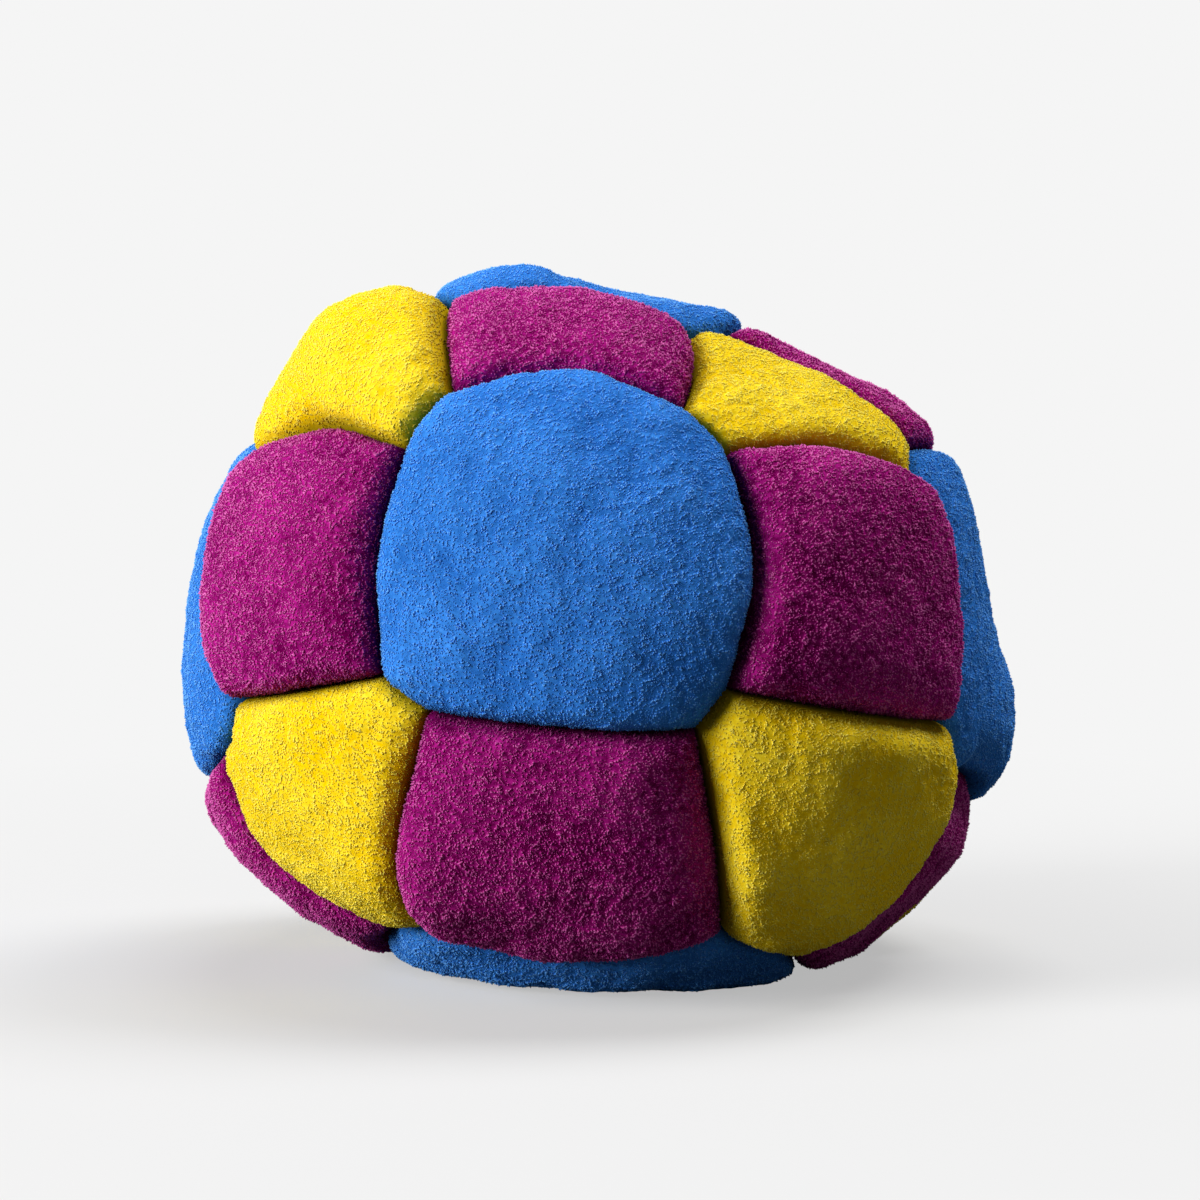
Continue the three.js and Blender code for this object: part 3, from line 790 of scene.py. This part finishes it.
def nap_tree(material):
    """Scatters tufts over the masked part of a mesh, and leaves the mesh itself out."""
    tree, sizes, result = new_tree("nap_of_" + material.name, [*NAP_SIZES, "Tuft Length"])
    where = add_node(tree, "GeometryNodeInputPosition").outputs[0]
    height = add_node(tree, "ShaderNodeSeparateXYZ", {0: where}).outputs["Z"]
    inputs = {0: height, 1: sizes["Lowest"]}
    is_clear = add_node(tree, "FunctionNodeCompare", inputs, operation="GREATER_THAN")
    mask = add_node(tree, "GeometryNodeInputNamedAttribute", {"Name": "nap_mask"}, data_type="FLOAT")
    inputs = {0: mask.outputs[0], 1: FACE_MASK}
    is_face = add_node(tree, "FunctionNodeCompare", inputs, operation="GREATER_THAN")
    chosen = add_node(tree, "FunctionNodeBooleanMath", {0: is_clear.outputs[0], 1: is_face.outputs[0]})
    roots = add_node(
        tree,
        "GeometryNodeDistributePointsOnFaces",
        {
            "Mesh": sizes["Geometry"],
            "Selection": chosen.outputs[0],
            "Density": sizes["Tufts per Square Metre"],
            "Seed": NAP_SEED,
        },
    )
    inputs = {"Min": (-1, -1, -1), "Max": (1, 1, 1), "Seed": NAP_SEED + 1}
    drawn = add_node(tree, "FunctionNodeRandomValue", inputs, data_type="FLOAT_VECTOR")
    inputs = {0: drawn.outputs[0], "Scale": sizes["Spread"]}
    lean = add_node(tree, "ShaderNodeVectorMath", inputs, operation="SCALE")
    inputs = {0: roots.outputs["Normal"], 1: lean.outputs[0]}
    way = add_node(tree, "ShaderNodeVectorMath", inputs, operation="ADD")
    turn = add_node(tree, "FunctionNodeAlignRotationToVector", {"Vector": way.outputs[0]}, axis="Z")
    tuft = add_node(
        tree,
        "GeometryNodeMeshCone",
        {
            "Vertices": 3,
            "Radius Top": 0,
            "Radius Bottom": sizes["Tuft Radius"],
            "Depth": sizes["Tuft Length"],
        },
    )
    soft = add_node(tree, "GeometryNodeSetShadeSmooth", {"Geometry": tuft.outputs["Mesh"]})
    share = add_node(tree, "ShaderNodeMath", {0: height, 1: sizes["Tuft Length"]}, operation="DIVIDE")
    marked = add_node(
        tree,
        "GeometryNodeStoreNamedAttribute",
        {"Geometry": soft.outputs[0], "Name": "nap_tip", "Value": share.outputs[0]},
        data_type="FLOAT",
        domain="POINT",
    )
    clump = add_node(tree, "ShaderNodeTexNoise", {"Vector": where, "Scale": 1 / CLUMP, "Detail": 1})
    low, high = CLUMP_NOISE
    small, large = TUFT_SCALES
    value = clump.outputs["Fac"]
    inputs = {"Value": value, "From Min": low, "From Max": high, "To Min": small, "To Max": large}
    size = add_node(tree, "ShaderNodeMapRange", inputs)
    tufts = add_node(
        tree,
        "GeometryNodeInstanceOnPoints",
        {
            "Points": roots.outputs["Points"],
            "Instance": marked.outputs["Geometry"],
            "Rotation": turn.outputs["Rotation"],
            "Scale": size.outputs[0],
        },
    )
    real = add_node(tree, "GeometryNodeRealizeInstances", {"Geometry": tufts.outputs[0]})
    dyed = add_node(tree, "GeometryNodeSetMaterial", {"Geometry": real.outputs[0], "Material": material})
    tree.links.new(dyed.outputs[0], result[0])
    return tree


nap_trees = [nap_tree(material) for material in suedes]
print(len(nap_trees[0].nodes), "nodes make the nap")

# %% [markdown]
# ## A nap for every panel
# The three suedes differ a little: in the photograph the nap of the magenta looks the coarsest. One nap
# could be spread over the whole bag. Here each panel gets its own, because the dye and the length of the
# tufts change from panel to panel.

# %% Nap on the panels
NAP_LENGTHS = {"blue_suede": 0.11 * MM, "magenta_suede": 0.15 * MM, "yellow_suede": 0.1 * MM}
nap_objects = {}
for name, dye in dyes.items():
    sizes = NAP_SIZES | {"Tuft Length": NAP_LENGTHS[SLOTS[dye]]}
    nap_objects[name] = add_object("nap_" + name, meshed(panel_objects[name], nap_trees[dye], sizes))
print(sum(len(obj.data.polygons) for obj in nap_objects.values()), "faces in the nap")

# %% [markdown]
# ## On the frame
# Each piece has to move with a body of the frame. That could be done by parenting objects in the outliner.
# A small function parents it by name to an empty for that body, so that the solid model and the visual one
# cannot drift apart, and the solid that it stands in for is hidden. The panels are soft.

# %% Put the panels on the frame
for name, dye in dyes.items():
    for obj in (panel_objects[name], nap_objects[name]):
        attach(obj, "root")
    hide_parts("panel_" + name)
print(len(panels), "panels on the frame")

# %% [markdown]
# ## The lines of the stitches
# Under the seams, thread goes over and over the raw edges of the panels. A closed bag hides it, but the
# model is built as the real bag is. The lines could be drawn as curves by hand. They follow the seams,
# though, so they come from the same corners as the panels: a closed line round each blue panel, and an
# open one on each other seam.

# %% Stitch lines
THREAD_GAP = 0.55 * MM  # from the raw edges of the panels to the middle of the thread
THREAD_DEPTH = SEAM_ALLOWANCE + THREAD_GAP
SEAM_POINTS = 12  # of a line, from corner to corner
THREAD_TRIM = 0.05  # a straight line of stitches stops short of its corners by this share


def stitch_line(ends, closed):
    """A mesh of edges below the seams that run from each direction to the next."""
    if closed:
        ends = ends + ends[:1]
    shares = np.linspace(0, 1, SEAM_POINTS)[:, None]
    runs = [unit((1 - shares) * start + shares * end)[:-1] for start, end in zip(ends, ends[1:])]
    if not closed:
        runs.append(ends[-1][None])
    directions = np.concatenate(runs)
    points = place(directions, np.full(len(directions), STITCH_RISE), THREAD_DEPTH)
    count = len(points)
    edges = [(k, (k + 1) % count) for k in range(count if closed else count - 1)]
    mesh = bpy.data.meshes.new("stitch_line")
    mesh.from_pydata(points.tolist(), edges, [])
    return mesh


def all_stitch_lines():
    """The lines by the solids they stand for: round blue panels, and between magenta and yellow ones."""
    lines = {}
    for name, names in panels.items():
        if len(names) == 1:
            lines["thread_" + name] = stitch_line([corners[key] for key in loops[name]], True)
        if len(names) == 2:
            for end in [side for side in SIDES if are_square(*names, side)]:
                start, stop = corners[(*names, end)], corners[(*names[::-1], end)]
                ends = [unit(start + (stop - start) * share) for share in (THREAD_TRIM, 1 - THREAD_TRIM)]
                lines[f"thread_{name}_at_{end}"] = stitch_line(ends, False)
    return lines


stitch_lines = all_stitch_lines()
print(len(stitch_lines), "lines of stitches")

# %% [markdown]
# ## The stitches
# Seen close, an overcast seam is a row of short slanted stitches. Each could be placed by hand, or a
# round tube could stand for all of them. Geometry nodes lay one small stitch at even steps along each
# line instead, so a change of its length or its spacing changes every seam at once.

# %% Stitches
STITCH_SIZES = {"Stitch Spacing": 1.1 * MM, "Stitch Length": 1.5 * MM, "Thread Width": 0.36 * MM}
STITCH_SLANT = math.radians(50)


def polyester_thread():
    """Twisted polyester thread: dark, with a faint shine."""
    material, tree = new_material("polyester_thread")
    inputs = {"Base Color": linear("#2b2730"), "Roughness": 0.55}
    shader = add_node(tree, "ShaderNodeBsdfPrincipled", inputs)
    add_node(tree, "ShaderNodeOutputMaterial", {"Surface": shader.outputs["BSDF"]})
    return material


def stitch_tree(material):
    """Lays slanted stitches along a line."""
    tree, sizes, result = new_tree("stitches", STITCH_SIZES)
    curve = add_node(tree, "GeometryNodeMeshToCurve", {"Mesh": sizes["Geometry"]})
    steps = add_node(
        tree,
        "GeometryNodeResampleCurve",
        {"Curve": curve.outputs[0], "Length": sizes["Stitch Spacing"]},
        mode="LENGTH",
    )
    # the ball is one across, so that its scale is its size
    ball = add_node(tree, "GeometryNodeMeshUVSphere", {"Segments": 6, "Rings": 5, "Radius": 0.5})
    size = add_node(
        tree,
        "ShaderNodeCombineXYZ",
        {0: sizes["Stitch Length"], 1: sizes["Thread Width"], 2: sizes["Thread Width"]},
    )
    stitch = add_node(
        tree,
        "GeometryNodeTransform",
        {"Geometry": ball.outputs["Mesh"], "Rotation": (0, 0, STITCH_SLANT), "Scale": size.outputs[0]},
    )
    tangent = add_node(tree, "GeometryNodeInputTangent")
    turn = add_node(tree, "FunctionNodeAlignRotationToVector", {"Vector": tangent.outputs[0]}, axis="X")
    stitches = add_node(
        tree,
        "GeometryNodeInstanceOnPoints",
        {"Points": steps.outputs[0], "Instance": stitch.outputs[0], "Rotation": turn.outputs["Rotation"]},
    )
    real = add_node(tree, "GeometryNodeRealizeInstances", {"Geometry": stitches.outputs[0]})
    dyed = add_node(tree, "GeometryNodeSetMaterial", {"Geometry": real.outputs[0], "Material": material})
    tree.links.new(dyed.outputs[0], result[0])
    return tree


stitches = stitch_tree(polyester_thread())
stitch_faces = 0
for node, line in stitch_lines.items():
    obj = add_object("stitches_of_" + node, line)
    obj.data = meshed(obj, stitches, STITCH_SIZES)
    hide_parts(node)
    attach(obj, "root")
    stitch_faces += len(obj.data.polygons)
print(stitch_faces, "faces in the stitches")

# %% [markdown]
# ## Stone
# The grains are broken stone, and no two have quite the same colour. Each could have a material of its
# own. Here they share one, and a tone that each grain carries picks its colour from a short ramp. Grit
# made of fine noise is laid over it.

# %% Stone material
GRIT = 0.5 * MM
GRAIN_SHARE = 0.7  # of the tone, and the rest is grit


def broken_stone():
    """Broken stone: tan, ochre and grey grains, dull, with a little grit on each."""
    material, tree = new_material("broken_stone")
    where = add_node(tree, "ShaderNodeTexCoord").outputs["Object"]
    grit = add_node(tree, "ShaderNodeTexNoise", {"Vector": where, "Scale": 1 / GRIT, "Detail": 3})
    grain = add_node(tree, "ShaderNodeAttribute", attribute_name="grain_tone")
    inputs = {"Factor": GRAIN_SHARE, "A": grit.outputs["Fac"], "B": grain.outputs["Fac"]}
    tone = add_node(tree, "ShaderNodeMix", inputs)
    colour = add_node(tree, "ShaderNodeValToRGB", {"Fac": tone.outputs["Result"]})
    stops = [(0, "#6f5a3c"), (0.4, "#a8854f"), (0.65, "#b5a58a"), (1, "#d9c8a2")]
    set_stops(colour.color_ramp, stops)
    inputs = {"Base Color": colour.outputs["Color"], "Roughness": 0.9}
    shader = add_node(tree, "ShaderNodeBsdfPrincipled", inputs)
    add_node(tree, "ShaderNodeOutputMaterial", {"Surface": shader.outputs["BSDF"]})
    return material


stone = broken_stone()
print(len(stone.node_tree.nodes), "nodes make the stone")

# %% [markdown]
# ## The gravel
# The bag is about two thirds full of coarse gravel. A rigid body simulation could pour it in, but nobody
# sees the heap. Geometry nodes fill the solid that stands for it: the solid becomes a volume, the volume
# is filled with points, and each point gets a grain of its own size and turn. Noise then breaks the round
# grains.

# %% Gravel grains
GRAVEL_SIZES = {
    "Inset": 1.5 * MM,  # from the solid's surface to the middles of the outermost grains
    "Voxel": 0.6 * MM,
    "Spacing": 2.2 * MM,
    "Jitter": 0.35 * MM,
    "Grain Radius": 1.1 * MM,
    "Break": 0.9 * MM,  # how far noise may push the points of a grain
}
CHIP = 1.5 * MM  # across what is broken off a grain or left standing on it
SMALLEST_GRAIN = 0.75  # as a share of the largest
FACES_PER_GRAIN = 20  # of an ico sphere with one subdivision
GRAVEL_SEED = 11


def gravel_tree(material):
    """Fills a closed mesh with broken grains, and leaves the mesh itself out."""
    tree, sizes, result = new_tree("gravel", GRAVEL_SIZES)
    merged = add_node(tree, "GeometryNodeMergeByDistance", {"Geometry": sizes["Geometry"]})
    normal = add_node(tree, "GeometryNodeInputNormal")
    inset = add_node(tree, "ShaderNodeMath", {0: sizes["Inset"], 1: -1}, operation="MULTIPLY")
    inputs = {0: normal.outputs[0], "Scale": inset.outputs[0]}
    inwards = add_node(tree, "ShaderNodeVectorMath", inputs, operation="SCALE")
    inputs = {"Geometry": merged.outputs[0], "Offset": inwards.outputs[0]}
    shrunk = add_node(tree, "GeometryNodeSetPosition", inputs)
    inputs = {"Mesh": shrunk.outputs[0], "Voxel Size": sizes["Voxel"]}
    volume = add_node(tree, "GeometryNodeMeshToVolume", inputs, resolution_mode="VOXEL_SIZE")
    grid = add_node(tree, "ShaderNodeCombineXYZ", {axis: sizes["Spacing"] for axis in range(3)})
    inputs = {"Volume": volume.outputs[0], "Spacing": grid.outputs[0]}
    points = add_node(tree, "GeometryNodeDistributePointsInVolume", inputs, mode="DENSITY_GRID")
    inputs = {"Min": (-1, -1, -1), "Max": (1, 1, 1), "Seed": GRAVEL_SEED}
    drawn = add_node(tree, "FunctionNodeRandomValue", inputs, data_type="FLOAT_VECTOR")
    inputs = {0: drawn.outputs[0], "Scale": sizes["Jitter"]}
    jitter = add_node(tree, "ShaderNodeVectorMath", inputs, operation="SCALE")
    inputs = {"Geometry": points.outputs[0], "Offset": jitter.outputs[0]}
    loose = add_node(tree, "GeometryNodeSetPosition", inputs)
    inputs = {"Radius": sizes["Grain Radius"], "Subdivisions": 1}
    grain = add_node(tree, "GeometryNodeMeshIcoSphere", inputs)
    # inputs 2 and 3 of a Random Value node are the limits of a plain number, which is output 1
    inputs = {2: SMALLEST_GRAIN, 3: 1, "Seed": GRAVEL_SEED + 1}
    size = add_node(tree, "FunctionNodeRandomValue", inputs, data_type="FLOAT")
    inputs = {"Min": (-math.pi,) * 3, "Max": (math.pi,) * 3, "Seed": GRAVEL_SEED + 2}
    turn = add_node(tree, "FunctionNodeRandomValue", inputs, data_type="FLOAT_VECTOR")
    grains = add_node(
        tree,
        "GeometryNodeInstanceOnPoints",
        {
            "Points": loose.outputs[0],
            "Instance": grain.outputs["Mesh"],
            "Rotation": turn.outputs[0],
            "Scale": size.outputs[1],
        },
    )
    inputs = {2: 0, 3: 1, "Seed": GRAVEL_SEED + 3}
    shade = add_node(tree, "FunctionNodeRandomValue", inputs, data_type="FLOAT")
    marked = add_node(
        tree,
        "GeometryNodeStoreNamedAttribute",
        {"Geometry": grains.outputs[0], "Name": "grain_tone", "Value": shade.outputs[1]},
        data_type="FLOAT",
        domain="INSTANCE",
    )
    real = add_node(tree, "GeometryNodeRealizeInstances", {"Geometry": marked.outputs[0]})
    where = add_node(tree, "GeometryNodeInputPosition").outputs[0]
    noise = add_node(tree, "ShaderNodeTexNoise", {"Vector": where, "Scale": 1 / CHIP})
    # noise lies round a half, and without that half it pushes both ways
    inputs = {0: noise.outputs["Color"], 1: (-0.5, -0.5, -0.5)}
    centred = add_node(tree, "ShaderNodeVectorMath", inputs, operation="ADD")
    inputs = {0: centred.outputs[0], "Scale": sizes["Break"]}
    push = add_node(tree, "ShaderNodeVectorMath", inputs, operation="SCALE")
    inputs = {"Geometry": real.outputs[0], "Offset": push.outputs[0]}
    broken = add_node(tree, "GeometryNodeSetPosition", inputs)
    inputs = {"Geometry": broken.outputs[0], "Material": material}
    dyed = add_node(tree, "GeometryNodeSetMaterial", inputs)
    tree.links.new(dyed.outputs[0], result[0])
    return tree


gravel = add_object("gravel_grains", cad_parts["gravel_fill"].data.copy())
gravel.data = meshed(gravel, gravel_tree(stone), GRAVEL_SIZES)
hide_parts("gravel_fill")
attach(gravel, "root")
print(len(gravel.data.polygons) // FACES_PER_GRAIN, "grains")

# %% [markdown]
# ## Light
# The photograph has a soft light on the left with a lower, weaker one beside it, some light from above
# and from behind on the right, and little in front. Each lamp is a disc, which throws soft shadows. Watts
# say little about how bright a picture gets, so a lamp is given by a level instead. The view transform is
# set to Standard, which shows a colour as it is written.

# %% Lamps
LAMP_DISTANCE = 600 * MM
LAMPS = {  # the way from the bag to the lamp, its level and its size
    "key": ((-0.82, -0.44, 0.34), 1.15, 350 * MM),
    "side": ((-0.97, -0.22, 0.05), 0.3, 300 * MM),
    "top": ((0, 0.3, 0.92), 0.42, 300 * MM),
    "fill": ((0.5, -0.8, 0.3), 0.06, 500 * MM),
    "rim": ((0.45, 0.3, 0.85), 0.75, 300 * MM),
}


def lamp(name, way, level, size):
    """A round soft lamp and its light on the floor. Level 1 shows what faces it in its own colour."""
    data = bpy.data.lights.new(name, "AREA")
    data.shape = "DISK"
    data.size = size
    data.energy = level * (math.pi * LAMP_DISTANCE) ** 2
    obj = bpy.data.objects.new(name, data)
    towards = Vector(way).normalized()
    obj.location = AIM + towards * LAMP_DISTANCE
    obj.rotation_euler = towards.to_track_quat("Z", "Y").to_euler()
    bpy.context.scene.collection.objects.link(obj)
    return level * towards.z


floor_light = sum(lamp(name, *settings) for name, settings in LAMPS.items())
bpy.context.scene.view_settings.view_transform = "Standard"
print(f"light on the floor {floor_light:.2f}")

# %% [markdown]
# ## Paper
# The bag sits on pale paper that runs on without a horizon. A curved backdrop would do it in a studio.
# Here the paper shines with its own colour where the camera sees it far from the bag, and close to the bag
# it is lit and keeps a shadow. Light that bounces meets a greyer paper, so that the underside of the bag
# stays dark.

# %% Paper material
PAPER = "#f5f5f5"
SHADED_PAPER = "#606060"
SHADOW_REACH = (30 * MM, 120 * MM)  # from the middle of the bag: all of the shadow to none
SHADOW_SHARE = 0.5  # of the full shadow, at the bag


def seen_directly(tree):
    """One for rays that show the background: from the camera, or by way of gloss or glass."""
    ray = add_node(tree, "ShaderNodeLightPath").outputs
    inputs = {0: ray["Is Glossy Ray"], 1: ray["Is Transmission Ray"]}
    shiny = add_node(tree, "ShaderNodeMath", inputs, operation="MAXIMUM")
    inputs = {0: ray["Is Camera Ray"], 1: shiny.outputs[0]}
    return add_node(tree, "ShaderNodeMath", inputs, operation="MAXIMUM").outputs[0]


def backdrop_paper():
    """Matt white paper that glows where the camera sees it far from the bag."""
    material, tree = new_material("backdrop_paper")
    where = add_node(tree, "ShaderNodeTexCoord").outputs["Object"]
    away = add_node(tree, "ShaderNodeVectorMath", {0: where}, operation="LENGTH").outputs["Value"]
    near, far = SHADOW_REACH
    least = 1 - SHADOW_SHARE
    inputs = {"Value": away, "From Min": near, "From Max": far, "To Min": least, "To Max": 1}
    share = add_node(tree, "ShaderNodeMapRange", inputs)
    lit_colour = [value / floor_light for value in linear(PAPER)]
    lit = add_node(tree, "ShaderNodeBsdfDiffuse", {"Color": lit_colour})
    glow = add_node(tree, "ShaderNodeEmission", {"Color": linear(PAPER), "Strength": 1})
    inputs = {0: share.outputs[0], 1: lit.outputs[0], 2: glow.outputs[0]}
    shown = add_node(tree, "ShaderNodeMixShader", inputs)
    bounce = add_node(tree, "ShaderNodeBsdfDiffuse", {"Color": linear(SHADED_PAPER)})
    inputs = {0: seen_directly(tree), 1: bounce.outputs[0], 2: shown.outputs[0]}
    both = add_node(tree, "ShaderNodeMixShader", inputs)
    add_node(tree, "ShaderNodeOutputMaterial", {"Surface": both.outputs[0]})
    return material


paper = backdrop_paper()
print(f"the shadow fades out {SHADOW_REACH[1] / MM:.0f} mm from the middle of the bag")

# %% [markdown]
# ## Floor and background
# Behind the bag there is nothing but the same pale tone. A wall of paper could stand there, but it would
# need light of its own. The world around the scene takes its place: it shows the paper's colour to the
# camera, and lends the bag only a trace of light. The floor is one large square of paper.

# %% Floor and world
HALF_FLOOR = 4000 * MM
ROOM_LIGHT = 0.01


def studio_world(strength):
    """Even light from all round, with the colour of paper behind the bag."""
    world = bpy.data.worlds.new("studio")
    world.use_nodes = True
    tree = world.node_tree
    tree.nodes.clear()
    room = add_node(tree, "ShaderNodeBackground", {"Color": linear("#ffffff"), "Strength": strength})
    behind = add_node(tree, "ShaderNodeBackground", {"Color": linear(PAPER), "Strength": 1})
    inputs = {0: seen_directly(tree), 1: room.outputs[0], 2: behind.outputs[0]}
    both = add_node(tree, "ShaderNodeMixShader", inputs)
    add_node(tree, "ShaderNodeOutputWorld", {"Surface": both.outputs[0]})
    return world


floor_mesh = bpy.data.meshes.new("floor")
floor_corners = [(x * HALF_FLOOR, y * HALF_FLOOR, 0) for x, y in ((-1, -1), (1, -1), (1, 1), (-1, 1))]
floor_mesh.from_pydata(floor_corners, [], [(0, 1, 2, 3)])
floor_mesh.materials.append(paper)
floor = add_object("floor", floor_mesh)
bpy.context.scene.world = studio_world(ROOM_LIGHT)
print(f"floor {floor.dimensions.x:.0f} m wide")
